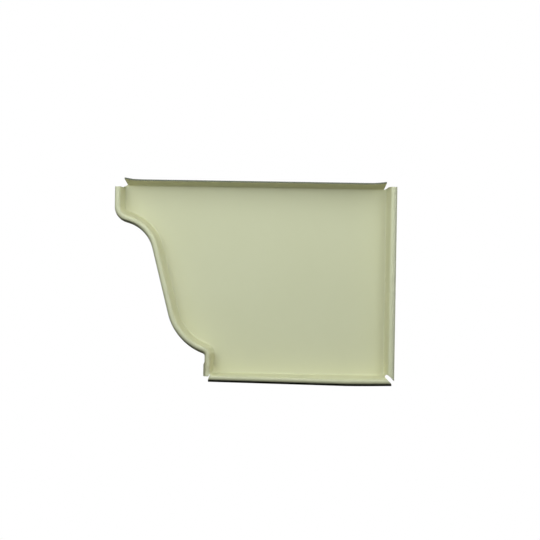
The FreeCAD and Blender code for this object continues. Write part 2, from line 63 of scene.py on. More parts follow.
UP = Vector((0.0, 0.0, 1.0))
TOUCH = 0.001  # millimetres within which two places count as one
HAIR = 0.0001  # millimetres within which a cut keeps the corner that it meets
Pair = tuple[float, float]
PlaceTest = Callable[[Vector], bool]
Element = bmesh.types.BMVert | bmesh.types.BMEdge | bmesh.types.BMFace


class Kind(Enum):
    """What a selection picks."""

    CORNERS = "VERT"
    EDGES = "EDGE"
    FACES = "FACE"


def clamp(value: float) -> float:
    """Holds a value between 0 and 1."""
    return min(max(value, 0.0), 1.0)


def deselect_all() -> None:
    """Clears the selection, so that an operator meets only what is chosen next."""
    bpy.ops.object.select_all(action="DESELECT")


def activate(piece: bpy.types.Object) -> None:
    """Makes one object the only selected and active one.

    Args:
        piece: the object to work on.
    """
    deselect_all()
    piece.select_set(True)
    bpy.context.view_layer.objects.active = piece


class Bench:
    """A mesh drawn in edit mode, by extruding, turning and snipping what is selected."""

    def __init__(self, name: str, start: Vector) -> None:
        """Starts a mesh as one point.

        Args:
            name: the object's name.
            start: where the point lies, in millimetres.
        """
        deselect_all()
        bpy.ops.mesh.primitive_plane_add(size=MM, location=(0.0, 0.0, 0.0))
        self.piece = bpy.context.active_object
        self.piece.name = name
        bpy.ops.object.mode_set(mode="EDIT")
        bpy.ops.mesh.select_mode(type="VERT")
        bpy.ops.mesh.select_all(action="SELECT")
        bpy.ops.mesh.merge(type="CENTER")
        bpy.ops.transform.translate(value=start * MM)

    def line(self, move: Vector, steps: int = 1) -> None:
        """Extrudes the selection straight.

        Args:
            move: the whole way, in millimetres.
            steps: how many equal extrusions it takes.
        """
        for _ in range(steps):
            bpy.ops.mesh.extrude_region_move(
                TRANSFORM_OT_translate={"value": move * (MM / steps)}
            )

    def arc(self, centre: Vector, axis: Vector, degrees: float, steps: int) -> None:
        """Spins the selection, by the right-hand rule.

        Args:
            centre: a point on the axis, in millimetres.
            axis: the axis of the turn.
            degrees: how far it turns.
            steps: how many equal extrusions it takes.
        """
        angle = -math.radians(degrees)
        bpy.ops.mesh.spin(steps=steps, angle=angle, center=centre * MM, axis=axis)

    def select(self, kind: Kind, test: PlaceTest) -> int:
        """Selects what lies in a place, and nothing else.

        Args:
            kind: corners, edges or faces.
            test: tells whether an element with this middle, in millimetres, is chosen.

        Returns:
            How many elements are selected.
        """
        bpy.ops.mesh.select_mode(type=kind.value)
        bpy.ops.mesh.select_all(action="DESELECT")
        mesh = bmesh.from_edit_mesh(self.piece.data)
        layers = {Kind.CORNERS: mesh.verts, Kind.EDGES: mesh.edges, Kind.FACES: mesh.faces}
        chosen = [item for item in layers[kind] if test(self._middle(item, kind))]
        for item in chosen:
            item.select_set(True)
        bmesh.update_edit_mesh(self.piece.data)
        return len(chosen)

    def _middle(self, item: Element, kind: Kind) -> Vector:
        """Finds where an element lies.

        Args:
            item: a corner, edge or face.
            kind: which of them it is.

        Returns:
            Its middle, in millimetres.
        """
        if kind is Kind.CORNERS:
            return item.co / MM
        if kind is Kind.EDGES:
            return (item.verts[0].co + item.verts[1].co) / (2 * MM)
        return item.calc_center_median() / MM

    def snip(self, zone: PlaceTest, point: Vector, normal: Vector) -> None:
        """Cuts away the part of a zone that lies beyond a plane.

        Args:
            zone: tells which faces the cut may touch, by their middle.
            point: a point on the plane, in millimetres.
            normal: points to the side that goes.
        """
        self.score(zone, point, normal)
        if self.select(Kind.FACES, lambda at: zone(at) and (at - point).dot(normal) > 0.0):
            bpy.ops.mesh.delete(type="FACE")

    def score(self, zone: PlaceTest, point: Vector, normal: Vector) -> None:
        """Adds edges where a plane crosses the faces of a zone, and takes nothing away.

        Args:
            zone: tells which faces are scored, by their middle.
            point: a point on the plane, in millimetres.
            normal: the plane's normal.
        """
        if self.select(Kind.FACES, zone):
            bpy.ops.mesh.bisect(
                plane_co=point * MM, plane_no=normal.normalized(), threshold=HAIR * MM
            )

    def move_corners(self, shift: Callable[[Vector], Vector]) -> None:
        """Moves every corner by a vector that depends on its place.

        Args:
            shift: gives the move at a place, both in millimetres.
        """
        mesh = bmesh.from_edit_mesh(self.piece.data)
        for corner in mesh.verts:
            corner.co += shift(corner.co / MM) * MM
        bmesh.update_edit_mesh(self.piece.data)

    def leave(self) -> bpy.types.Object:
        """Ends edit mode.

        Returns:
            The object that was drawn.
        """
        bpy.ops.object.mode_set(mode="OBJECT")
        return self.piece


@dataclass(frozen=True)
class GutterOutline:
    """The line that the rim's channel follows: the middle of the gutter's sheet."""

    width: float = 127.0
    height: float = 88.9
    sheet: float = 0.7
    lip_drop: float = 9.7
    shoulder_radius: float = 5.85
    shoulder_turn: float = 72.5
    ledge: float = 1.75
    cove_radius: float = 17.7
    cove_turn: float = 58.1
    belly_radius: float = 24.25
    belly_turn: float = 55.7
    toe_radius: float = 3.0
    riser_height: float = 11.0

    @property
    def lip_x(self) -> float:
        """Across, at the lip."""
        return self.sheet / 2 - self.width

    @property
    def back_x(self) -> float:
        """Across, at the back."""
        return -self.sheet / 2

    @property
    def floor_z(self) -> float:
        """Up, at the floor."""
        return self.sheet / 2

    @property
    def lip_foot_z(self) -> float:
        """Up, where the lip runs into the shoulder."""
        return self.height - self.lip_drop

    @property
    def slopes(self) -> tuple[float, float, float]:
        """Where the ogee's slopes stand.

        Returns:
            Degrees below the horizontal of the ledge, the flank and the belly's end.
        """
        ledge = 90 - self.shoulder_turn
        flank = ledge + self.cove_turn
        return ledge, flank, flank - self.belly_turn

    @property
    def flank(self) -> float:
        """The straight flank takes what the other edges leave of the height.

        Returns:
            Its length.
        """
        ledge, flank, end = (math.radians(slope) for slope in self.slopes)
        drop = self.shoulder_radius * math.cos(ledge) + self.ledge * math.sin(ledge)
        drop += self.cove_radius * (math.cos(ledge) - math.cos(flank))
        drop += self.belly_radius * (math.cos(end) - math.cos(flank))
        drop += self.toe_radius * math.cos(end)
        return (self.lip_foot_z - self.riser_height - drop) / math.sin(flank)

    @property
    def riser_x(self) -> float:
        """Adds up the ogee's edges across, from the lip to the riser.

        Returns:
            The riser's x.
        """
        ledge, flank, end = (math.radians(slope) for slope in self.slopes)
        run = self.shoulder_radius * (1 - math.sin(ledge)) + self.ledge * math.cos(ledge)
        run += self.cove_radius * (math.sin(flank) - math.sin(ledge))
        run += self.flank * math.cos(flank)
        run += self.belly_radius * (math.sin(flank) - math.sin(end))
        run += self.toe_radius * (1 - math.sin(end))
        return self.lip_x + run


@dataclass(frozen=True)
class SheetGauge:
    """The cap's own sheet and how it is bent, measured from the middle of the channel."""

    thickness: float = 0.6
    slot_gap: float = 1.2
    bend_radius: float = 0.8
    tray_depth: float = 9.5
    wall_inset: float = 3.7
    panel_inset: float = 4.45
    skirt_depth: float = 10.0
    skirt_flare: float = 3.0
    flange_lean: float = 11.0

    @property
    def fold_centre(self) -> float:
        """Depth of the fold's centre."""
        return self.slot_gap / 2

    @property
    def fold_radius(self) -> float:
        """Radius of the fold's outside."""
        return self.fold_centre + self.thickness

    @property
    def panel_front(self) -> float:
        """Depth of the panel's outer face."""
        return self.tray_depth - self.thickness

    @property
    def draft(self) -> float:
        """The inner wall leans so far that it is tangent to bend and fold.

        Returns:
            Its lean, in degrees.
        """
        rise = self.panel_front - self.bend_radius - self.fold_centre
        reach = self.bend_radius + self.fold_radius
        lean = math.acos(reach / math.hypot(self.wall_inset, rise))
        return math.degrees(lean - math.atan2(rise, self.wall_inset))


class Turtle:
    """Walks down the ogee and sweeps the selected section along."""

    def __init__(self, bench: Bench, x: float, z: float, slope: float) -> None:
        """Starts at a point of the line.

        Args:
            bench: the mesh that is swept.
            x: across, in millimetres.
            z: up, in millimetres.
            slope: heading, in degrees below the horizontal.
        """
        self.bench = bench
        self.place = Vector((x, 0.0, z))
        self.slope = slope

    @property
    def heading(self) -> Vector:
        """Unit vector along the line."""
        angle = math.radians(self.slope)
        return Vector((math.cos(angle), 0.0, -math.sin(angle)))

    def straight(self, length: float, steps: int = 1) -> None:
        """Goes on straight.

        Args:
            length: how far, in millimetres.
            steps: how many extrusions.
        """
        self.bench.line(self.heading * length, steps)
        self.place += self.heading * length

    def turn(self, radius: float, degrees: float, steps: int) -> None:
        """Goes round an arc.

        Args:
            radius: of the channel's middle, in millimetres.
            degrees: above zero where the outline bulges, below zero where it is hollow.
            steps: how many extrusions.
        """
        inwards = Vector((-self.heading.z, 0.0, self.heading.x))
        centre = self.place + inwards * math.copysign(radius, degrees)
        self.bench.arc(centre, -Y_AXIS, degrees, steps)
        self.slope -= degrees
        outwards = Vector((self.heading.z, 0.0, -self.heading.x))
        self.place = centre + outwards * math.copysign(radius, degrees)


@dataclass(frozen=True)
class Facets:
    """How many steps each stretch of the sheet is drawn in."""

    bend: int = 8
    wall: int = 4
    fold: int = 20
    skirt: int = 5
    lip: int = 4
    shoulder: int = 18
    curve: int = 48
    flank: int = 8
    toe: int = 14
    corner: int = 6
    back: int = 8
    flange: int = 8


@dataclass
class FoldedRim:
    """The rim: bend, inner wall, full-round fold and flared skirt, down the ogee and round."""

    outline: GutterOutline
    gauge: SheetGauge
    bench: Bench = field(init=False)
    facets: Facets = Facets()
    start_height: float = 95.0
    beyond_corner: float = 9.0
    corner_round: float = 1.5
    lip_top: float = 87.9
    back_top: float = 89.7
    wall_end_inset: float = 2.6
    panel_corner_inset: float = 4.8
    lip_corner_height: float = 89.3
    back_corner_height: float = 88.6
    skirt_skew: float = 0.5
    # The floor's fold: up at the riser, down further on, and level again near the back.
    floor_rise: float = 0.6
    floor_sag: float = 0.65
    floor_lift: float = 0.66
    lift_run: float = 21.0
    lift_bend: float = 1.3
    lift_scores: tuple[float, ...] = (1.0, 0.75, 0.5, 0.25)
    # The riser's skirt stands further out, and its wall steeper.
    riser_spread: float = 0.5
    spread_top: float = 8.4
    spread_step: float = 1.2
    spread_scores: tuple[float, ...] = (0.0, 0.35, 0.65, 1.0)
    riser_narrowing: float = 0.6
    narrow_start: float = 13.0
    narrow_run: float = 4.0

    def build(self) -> Bench:
        """Draws the section and sweeps it round.

        Returns:
            The bench, which holds the rim.
        """
        x = self.outline.lip_x + self.gauge.panel_inset
        start = Vector((x, self.gauge.panel_front, self.start_height))
        self.bench = Bench("painted_end_cap", start)
        self._draw_section()
        self._sweep_ogee()
        self._sweep_floor()
        self._sweep_back()
        self._round_corners()
        self._trim_tops()
        self._score_floor()
        self.bench.move_corners(self._creep)
        self.bench.move_corners(self._narrow)
        self._spread_riser()
        return self.bench

    def _draw_section(self) -> None:
        """The side of the sheet that the viewer sees, from the panel to the skirt's mouth."""
        gauge = self.gauge
        lip_x = self.outline.lip_x
        top = self.start_height
        self.bench.line(-X_AXIS * (gauge.panel_inset - gauge.wall_inset))
        bend = Vector((lip_x + gauge.wall_inset, gauge.panel_front - gauge.bend_radius, top))
        self.bench.arc(bend, UP, 90 - gauge.draft, self.facets.bend)
        draft = math.radians(gauge.draft)
        fold = Vector((lip_x, gauge.fold_centre, top))
        along = Vector((math.cos(draft), math.sin(draft), 0.0))
        across = Vector((-along.x, along.y, 0.0))
        wall_start = bend + across * gauge.bend_radius
        wall_end = fold - across * gauge.fold_radius
        self.bench.line(wall_end - wall_start, self.facets.wall)
        turn = gauge.draft + gauge.skirt_flare - 180
        self.bench.arc(fold, UP, turn, self.facets.fold)
        flare = math.radians(gauge.skirt_flare)
        mouth = gauge.skirt_depth - gauge.fold_centre + gauge.fold_radius * math.sin(flare)
        self.bench.line(Vector((-math.tan(flare), 1.0, 0.0)) * mouth, self.facets.skirt)
        bpy.ops.mesh.select_all(action="SELECT")

    def _sweep_ogee(self) -> None:
        """Lip, shoulder, ledge, cove, flank, belly, toe and riser."""
        line = self.outline
        facets = self.facets
        walk = Turtle(self.bench, line.lip_x, self.start_height, 90.0)
        walk.straight(self.start_height - line.lip_foot_z, facets.lip)
        walk.turn(line.shoulder_radius, line.shoulder_turn, facets.shoulder)
        walk.straight(line.ledge)
        walk.turn(line.cove_radius, -line.cove_turn, facets.curve)
        walk.straight(line.flank, facets.flank)
        walk.turn(line.belly_radius, line.belly_turn, facets.curve)
        walk.turn(line.toe_radius, walk.slope - 90, facets.toe)
        walk.straight(walk.place.z - line.floor_z + self.beyond_corner)

    def _sweep_floor(self) -> None:
        """Mitres the riser's foot and sweeps on along the floor."""
        line = self.outline
        corner = Vector((line.riser_x, 0.0, line.floor_z))
        downwards = Vector((1.0, 0.0, -1.0))
        past_wall = line.riser_x + 2 * self.gauge.wall_inset
        self.bench.snip(
            lambda at: at.x < past_wall and at.z < line.riser_height, corner, downwards
        )
        self._select_mitre(corner, downwards)
        self.bench.line(X_AXIS * (line.back_x - line.riser_x + self.beyond_corner))

    def _sweep_back(self) -> None:
        """Mitres the floor's end and sweeps on up the back."""
        line = self.outline
        corner = Vector((line.back_x, 0.0, line.floor_z))
        outwards = Vector((1.0, 0.0, 1.0))
        self.bench.snip(lambda at: at.x > line.riser_x / 2, corner, outwards)
        self._select_mitre(corner, outwards)
        self.bench.line(UP * self.start_height, self.facets.back)

    def _select_mitre(self, corner: Vector, normal: Vector) -> None:
        """Selects the section's copy in a mitre plane.

        Args:
            corner: a point on the plane.
            normal: the plane's normal.
        """
        near = 2 * self.beyond_corner

        def in_plane(at: Vector) -> bool:
            """Tells whether a place lies in the plane, near the corner."""
            away = at - corner
            return abs(away.dot(normal)) < TOUCH and abs(away.x) < near and abs(away.z) < near

        self.bench.select(Kind.EDGES, in_plane)

    def _round_corners(self) -> None:
        """Rounds both mitred corners, as the stamping die does."""
        line = self.outline
        for x, normal in ((line.riser_x, (1.0, 0.0, -1.0)), (line.back_x, (1.0, 0.0, 1.0))):
            self._select_mitre(Vector((x, 0.0, line.floor_z)), Vector(normal))
            bpy.ops.mesh.bevel(
                offset=self.corner_round * MM,
                offset_type="OFFSET",
                segments=self.facets.corner,
                affect="EDGES",
            )

    def _score_floor(self) -> None:
        """Scores the floor's rim across, near the back, where it bends a little."""
        bend = self.outline.floor_z + self.gauge.panel_inset
        for share in self.lift_scores:
            across = Vector((-share * self.lift_run, 0.0, 0.0))
            self.bench.score(lambda at: at.x > self.outline.riser_x and at.z < bend, across, X_AXIS)

    def _creep(self, at: Vector) -> Vector:
        """The floor's fold is drawn askew: high at the riser, low further on, level at the back.

        Args:
            at: the corner's place.

        Returns:
            Its move, in millimetres.
        """
        line = self.outline
        bend = line.floor_z + self.gauge.wall_inset
        depth = clamp((bend - at.z) / self.gauge.wall_inset)
        along = clamp(at.x / line.riser_x)
        near_back = clamp(1.0 + at.x / self.lift_run)
        rise = self.floor_rise * along - self.floor_sag * (1.0 - along)
        return UP * (depth * (rise + self.floor_lift * near_back**self.lift_bend))

    def _narrow(self, at: Vector) -> Vector:
        """The riser's wall stands steeper than the others, so it looks narrower.

        Args:
            at: the corner's place.

        Returns:
            Its move, in millimetres.
        """
        line = self.outline
        if not line.riser_x < at.x < line.riser_x + self.beyond_corner or at.z < line.floor_z:
            return Vector()
        height = clamp((self.narrow_start - at.z) / self.narrow_run)
        depth = max(at.y, 0.0) / self.gauge.panel_front
        return X_AXIS * (-self.riser_narrowing * depth * height * height * (3.0 - 2.0 * height))

    def _spread_riser(self) -> None:
        """The riser's skirt sprang out further than the belly's, with a step between them."""
        line = self.outline
        skirt_x = line.riser_x - self.gauge.fold_centre
        for share in self.spread_scores:
            level = UP * (self.spread_top - share * self.spread_step)
            self.bench.score(
                lambda at: skirt_x - self.beyond_corner < at.x < skirt_x
                and at.z < line.riser_height,
                level,
                UP,
            )
        self.bench.move_corners(self._spread)

    def _spread(self, at: Vector) -> Vector:
        """How far a corner of the riser's skirt moves out.

        Args:
            at: the corner's place.

        Returns:
            Its move, in millimetres.
        """
        line = self.outline
        outwards = line.riser_x - self.gauge.fold_centre - at.x
        if not 0.0 < outwards < self.beyond_corner / 2:
            return Vector()
        height = clamp((self.spread_top - at.z) / self.spread_step)
        return X_AXIS * (-self.riser_spread * height * max(at.y, 0.0) / self.gauge.skirt_depth)

    def _trim_tops(self) -> None:
        """Cuts the rim's two upper ends: level at the fold, askew along the skirt."""

        def zone(start: float, end: float) -> PlaceTest:
            """The rim between two places across, above the lip's foot."""
            near, far = sorted((start, end))
            return lambda at: near < at.x < far and at.z > self.outline.lip_foot_z

        skew = Vector((0.0, -self.skirt_skew, self.gauge.skirt_depth))
        run = self.panel_corner_inset - self.wall_end_inset
        for edge_x, side, top, corner in (
            (-self.outline.width, 1.0, self.lip_top, self.lip_corner_height),
            (0.0, -1.0, self.back_top, self.back_corner_height),
        ):
            outside = edge_x - side * self.beyond_corner
            slot_x = edge_x + side * self.outline.sheet / 2
            wall_x = edge_x + side * self.wall_end_inset
            inside = edge_x + side * self.beyond_corner
            for x in (slot_x, wall_x):
                self.bench.score(zone(outside, inside), Vector((x, 0.0, 0.0)), X_AXIS)
            self.bench.snip(zone(outside, slot_x), Vector((slot_x, 0.0, top)), skew)
            self.bench.snip(zone(slot_x, wall_x), Vector((slot_x, 0.0, top)), UP)
            slant = Vector((-side * (corner - top), 0.0, run))
            self.bench.snip(zone(wall_x, inside), Vector((wall_x, 0.0, top)), slant)


@dataclass
class TrayPanel:
    """The flat panel inside the rim."""

    outline: GutterOutline
    gauge: SheetGauge
    bench: Bench
    grid: float = 4.0
    wave_depth: float = 0.1
    wave_centre: Pair = (-48.0, 46.0)
    wave_reach: Pair = (40.0, 36.0)
    wave_length: Pair = (38.0, 54.0)

    @property
    def top(self) -> float:
        """Height where the panel runs into the top flange's bend."""
        turn = math.pi / 2 - math.radians(self.gauge.flange_lean)
        return self.outline.height - self.gauge.bend_radius * math.tan(turn / 2)

    def build(self) -> None:
        """Fills the outline inside the rim and scores a grid into it."""
        self.bench.score(lambda at: at.z > self.outline.lip_foot_z, UP * self.top, UP)
        left = self.outline.lip_x + self.gauge.panel_inset
        right = self.outline.back_x - self.gauge.panel_inset
        self.bench.select(
            Kind.CORNERS,
            lambda at: self._is_flat(at)
            and abs(at.z - self.top) < TOUCH
            and (abs(at.x - left) < TOUCH or abs(at.x - right) < TOUCH),
        )
        bpy.ops.mesh.edge_face_add()
        # The edge just drawn between the two top corners closes the border, which is filled.
        self._select_border()
        bpy.ops.mesh.edge_face_add()
        self._score_grid(left, right)
        self.bench.move_corners(self._wave)

    def _select_border(self) -> None:
        """Selects the open edges round the panel, and its top edge."""
        bpy.ops.mesh.select_mode(type="EDGE")
        bpy.ops.mesh.select_all(action="DESELECT")
        mesh = bmesh.from_edit_mesh(self.bench.piece.data)
        for edge in mesh.edges:
            flat = all(self._is_flat(corner.co / MM) for corner in edge.verts)
            below = all(corner.co.z / MM < self.top + TOUCH for corner in edge.verts)
            if flat and below and len(edge.link_faces) < 2:
                edge.select_set(True)
        bmesh.update_edit_mesh(self.bench.piece.data)

    def _score_grid(self, left: float, right: float) -> None:
        """Scores upright and level lines, so that the panel can carry its waves.

        Args:
            left: across, where the panel starts.
            right: across, where it ends.
        """
        for index in range(1, int((right - left) / self.grid) + 1):
            self.bench.score(self._is_flat, X_AXIS * (left + index * self.grid), X_AXIS)
        for index in range(1, int(self.top / self.grid)):
            self.bench.score(self._is_flat, UP * (index * self.grid), UP)

    def _wave(self, at: Vector) -> Vector:
        """The faint waves that stamping leaves in a flat panel; they die out at its border.

        Args:
            at: the corner's place.

        Returns:
            Its move, in millimetres.
        """
        if not self._is_flat(at):
            return Vector()
        (x, z), (reach_x, reach_z) = self.wave_centre, self.wave_reach
        away = math.hypot((at.x - x) / reach_x, (at.z - z) / reach_z)
        across, up = (2 * math.pi * place / size for place, size in zip(at.xz, self.wave_length))
        wave = math.sin(across + up / 2) * math.cos(up - across / 3)
        return Y_AXIS * (self.wave_depth * wave * max(1.0 - away * away, 0.0) ** 2)

    def _is_flat(self, at: Vector) -> bool:
        """Tells whether a place lies in the panel's plane."""
        return abs(at.y - self.gauge.panel_front) < TOUCH


@dataclass
class TopFlange:
    """The single flange along the top, turned towards the viewer."""

    outline: GutterOutline
    gauge: SheetGauge
    bench: Bench
    panel_top: float
    facets: Facets = Facets()
    reach: float = 9.2
    root_inset: float = 4.8
    tip_inset: float = 3.3
    lip_curl: float = 0.8
    back_curl: float = 0.65
    curl_length: float = 7.0
    slack: float = 0.01

    def build(self) -> None:
        """Bends the panel's top edge over."""
        front = self.gauge.panel_front
        top = self.panel_top
        self.bench.select(
            Kind.EDGES,
            lambda at: abs(at.z - top) < TOUCH
            and abs(at.y - front) < TOUCH
            and -self.outline.width + self.root_inset < at.x < -self.root_inset,
        )
        centre = Vector((0.0, front - self.gauge.bend_radius, top))
        turn = 90 - self.gauge.flange_lean
        self.bench.arc(centre, X_AXIS, turn, self.facets.bend)
        angle = math.radians(turn)
        root_y = centre.y + self.gauge.bend_radius * math.cos(angle)
        length = (root_y - front + self.reach) / math.sin(angle)
        outwards = Vector((0.0, -math.sin(angle), math.cos(angle)))
        self.bench.line(outwards * length, self.facets.flange)
        self.bench.move_corners(self._flare)
        self.bench.move_corners(self._curl)

    def _is_flange(self, at: Vector) -> bool:
        """Tells whether a corner is past the bend's first line and inside the tips."""
        past_bend = at.z > self.panel_top + TOUCH and at.y < self.gauge.panel_front - TOUCH
        return past_bend and self._is_within(at, self.tip_inset)

    def _is_within(self, at: Vector, inset: float) -> bool:
        """Tells whether a place keeps an inset from both of the gutter's edges."""
        half = self.outline.width / 2
        return abs(at.x + half) < half - inset + self.slack

    def _flare(self, at: Vector) -> Vector:
        """The flange is wider at its tip than at its root.

        Args:
            at: the corner's place.

        Returns:
            Its move, in millimetres.
        """
        if not self._on_flange_line(at):
            return Vector()
        half = self.outline.width / 2
        wider = (self.root_inset - self.tip_inset) * self._share(at) / (half - self.root_inset)
        return X_AXIS * ((at.x + half) * wider)

    def _share(self, at: Vector) -> float:
        """How far out towards the tip a corner lies, from 0 to 1."""
        return (self.gauge.panel_front - at.y) / self.reach

    def _on_flange_line(self, at: Vector) -> bool:
        """Tells the flange's corners from those of the rim's walls beside it."""
        return self._is_flange(at) and self._is_within(at, self.root_inset)

    def _curl(self, at: Vector) -> Vector:
        """Both ends of the tip are curled up a little, as the shears left them.

        Args:
            at: the corner's place.

        Returns:
            Its move, in millimetres.
        """
        if not self._is_flange(at) or at.z < self._plane_height(at) - self.slack:
            return Vector()
        half = self.outline.width / 2
        lift = self.lip_curl if at.x < -half else self.back_curl
        past = abs(at.x + half) - half + self.tip_inset
        near_end = past / self.curl_length + 1.0
        return UP * (lift * self._share(at) * max(near_end, 0.0) ** 2)

    def _plane_height(self, at: Vector) -> float:
        """The height of the flange's underside above a place, bend left out."""
        rise = math.tan(math.radians(self.gauge.flange_lean)) * (self.gauge.panel_front - at.y)
        return self.outline.height + rise - self.gauge.bend_radius


class Plane(Enum):
    """The plane of a cutter's outline; the value is the way along which it cuts."""

    FACE = (0.0, 1.0, 0.0)
    SIDE = (1.0, 0.0, 0.0)


@dataclass
class Cutter:
    """A prism that is subtracted from the sheet, as a punch would."""

    name: str
    corners: list[Pair]
    plane: Plane = Plane.FACE
    start: float = -10.0
    end: float = 20.0
    round_at: int | None = None
    round_centre: Pair = (0.0, 0.0)
    round_turn: float = 0.0
    round_steps: int = 12

    def build(self) -> bpy.types.Object:
        """Draws the outline, fills it and extrudes it.

        Returns:
            The prism.
        """
        bench = Bench(self.name, self._place(self.corners[0]))
        for index in range(1, len(self.corners)):
            if index == self.round_at:
                centre = self._place(self.round_centre)
                bench.arc(centre, -Y_AXIS, self.round_turn, self.round_steps)
            else:
                move = self._place(self.corners[index]) - self._place(self.corners[index - 1])
                bench.line(move)
        bpy.ops.mesh.select_all(action="SELECT")
        bpy.ops.mesh.edge_face_add()
        bench.line(Vector(self.plane.value) * (self.end - self.start))
        bpy.ops.mesh.select_all(action="SELECT")
        bpy.ops.mesh.normals_make_consistent(inside=False)
        return bench.leave()

    def _place(self, corner: Pair) -> Vector:
        """Puts a corner of the outline into the cap's frame, in millimetres."""
        u, v = corner
        return Vector((u, self.start, v) if self.plane is Plane.FACE else (self.start, u, v))


@dataclass
class CornerCuts:
    """The slit, kerf and notch where the walls part at the two lower corners."""

    outline: GutterOutline
    gauge: SheetGauge
    slit_width: float = 1.6
    slit_inset: float = 2.1
    slit_rise: float = 2.85
    slit_lower_angle: float = 46.0
    slit_upper_angle: float = 41.0
    kerf_width: float = 0.3
    kerf_inset: float = 1.4
    kerf_rise: float = 2.3
    kerf_angle: float = 70.0
    floor_rim_inset: float = 1.1
    floor_rim_angle: float = 72.0
    riser_rim_foot: float = 1.4
    back_rim_foot: float = 0.1
    skirt_skew: float = 0.5
    skirt_start: float = 0.15
    reach: float = 7.5
    margin: float = 3.0
    foot_slant: float = 0.01

    def cutters(self) -> list[Cutter]:
        """Lists the cuts at the lower corners.

        Returns:
            Their cutters.
        """
        corner_x = self.outline.riser_x - self.outline.sheet / 2
        back_slit = self._slit(
            "back_slit",
            (-self.slit_inset, self.slit_rise),
            self.slit_width / 2,
            (180 - self.slit_upper_angle, 180 - self.slit_lower_angle),
        )
        kerf = self._slit(
            "riser_kerf",
            (corner_x + self.kerf_inset, self.kerf_rise),
            self.kerf_width / 2,
            (self.kerf_angle, self.kerf_angle),
        )
        return [back_slit, kerf, self._notch(corner_x), *self._skirt_feet()]

    def _slit(self, name: str, centre: Pair, radius: float, headings: Pair) -> Cutter:
        """A slit with a round inner end.

        Args:
            name: the cutter's name.
            centre: of the round end, as x and z.
            radius: of the round end.
            headings: degrees, pointing inwards along its two sides.

        Returns:
            The cutter.
        """
        first, second = (math.radians(heading) for heading in headings)
        begin, end = first - math.pi / 2, second + math.pi / 2

        def on_round(angle: float) -> Pair:
            """A point of the round end."""
            x, z = centre
            return x + radius * math.cos(angle), z + radius * math.sin(angle)

        def outside(point: Pair, heading: float) -> Pair:
            """Where a side of the slit has left the sheet."""
            x, z = point
            return x - self.reach * math.cos(heading), z - self.reach * math.sin(heading)

        near, far = on_round(begin), on_round(end)
        corners = [outside(near, first), near, far, outside(far, second)]
        turn = math.degrees(end - begin)
        return Cutter(name, corners, round_at=2, round_centre=centre, round_turn=turn)

    def _notch(self, corner_x: float) -> Cutter:
        """The open corner between the riser's rim and the floor's.

        Args:
            corner_x: across, at the riser's outside.

        Returns:
            The cutter.
        """
        top = self.riser_rim_foot
        start = corner_x + self.floor_rim_inset
        slant = (top + self.margin) / math.tan(math.radians(self.floor_rim_angle))
        left = corner_x - self.margin
        corners = [(start, top), (left, top), (left, -self.margin), (start - slant, -self.margin)]
        return Cutter("riser_notch", corners)

    def _skirt_feet(self) -> list[Cutter]:
        """The skirts' lower ends, higher at the mouth than at the fold.

        Returns:
            One cutter for the riser's skirt and one for the back's.
        """
        feet = []
        depth = self.gauge.skirt_depth
        rise = self.skirt_skew
        for name, x, side, level in (
            ("riser_skirt_foot", self.outline.riser_x, -1.0, self.riser_rim_foot),
            ("back_skirt_foot", self.skirt_start, 1.0, self.back_rim_foot),
        ):
            below = level - 2 * self.margin
            corners = [
                (-self.margin, level - self.foot_slant),
                (0.0, level),
                (depth, level + rise),
                (depth + self.margin, level + rise),
                (depth + self.margin, below),
                (-self.margin, below),
            ]
            start, end = sorted((x, x + side * 2 * self.margin))
            feet.append(Cutter(name, corners, plane=Plane.SIDE, start=start, end=end))
        return feet


def srgb(code: str) -> tuple[float, float, float, float]:
    """Turns an sRGB hex colour into linear values.

    Args:
        code: such as "#D5D7B8".

    Returns:
        Red, green, blue and alpha.
    """
    shares = [int(code[index:index + 2], 16) / 255 for index in (1, 3, 5)]
    linear = [
        share / 12.92 if share <= 0.04045 else ((share + 0.055) / 1.055) ** 2.4
        for share in shares
    ]
    return (*linear, 1.0)


def add_node(
    tree: bpy.types.NodeTree,
    kind: str,
    settings: dict[str, object] | None = None,
    inputs: dict[str | int, object] | None = None,
) -> bpy.types.Node:
    """Adds a node with its settings and links.

    Args:
        tree: the material's tree.
        kind: the node's type.
        settings: properties of the node.
        inputs: values, or output sockets to link, by the input's name or number.

    Returns:
        The node.
    """
    node = tree.nodes.new(kind)
    for name, value in (settings or {}).items():
        setattr(node, name, value)
    for name, value in (inputs or {}).items():
        if isinstance(value, bpy.types.NodeSocket):
            tree.links.new(value, node.inputs[name])
        else:
            node.inputs[name].default_value = value
    return node


def begin_material(name: str) -> tuple[bpy.types.Material, bpy.types.Node]:
    """Makes a material with nodes.

    Args:
        name: the material's name.

    Returns:
        The material and its shader.
    """
    material = bpy.data.materials.new(name)
    material.use_nodes = True
    return material, material.node_tree.nodes["Principled BSDF"]


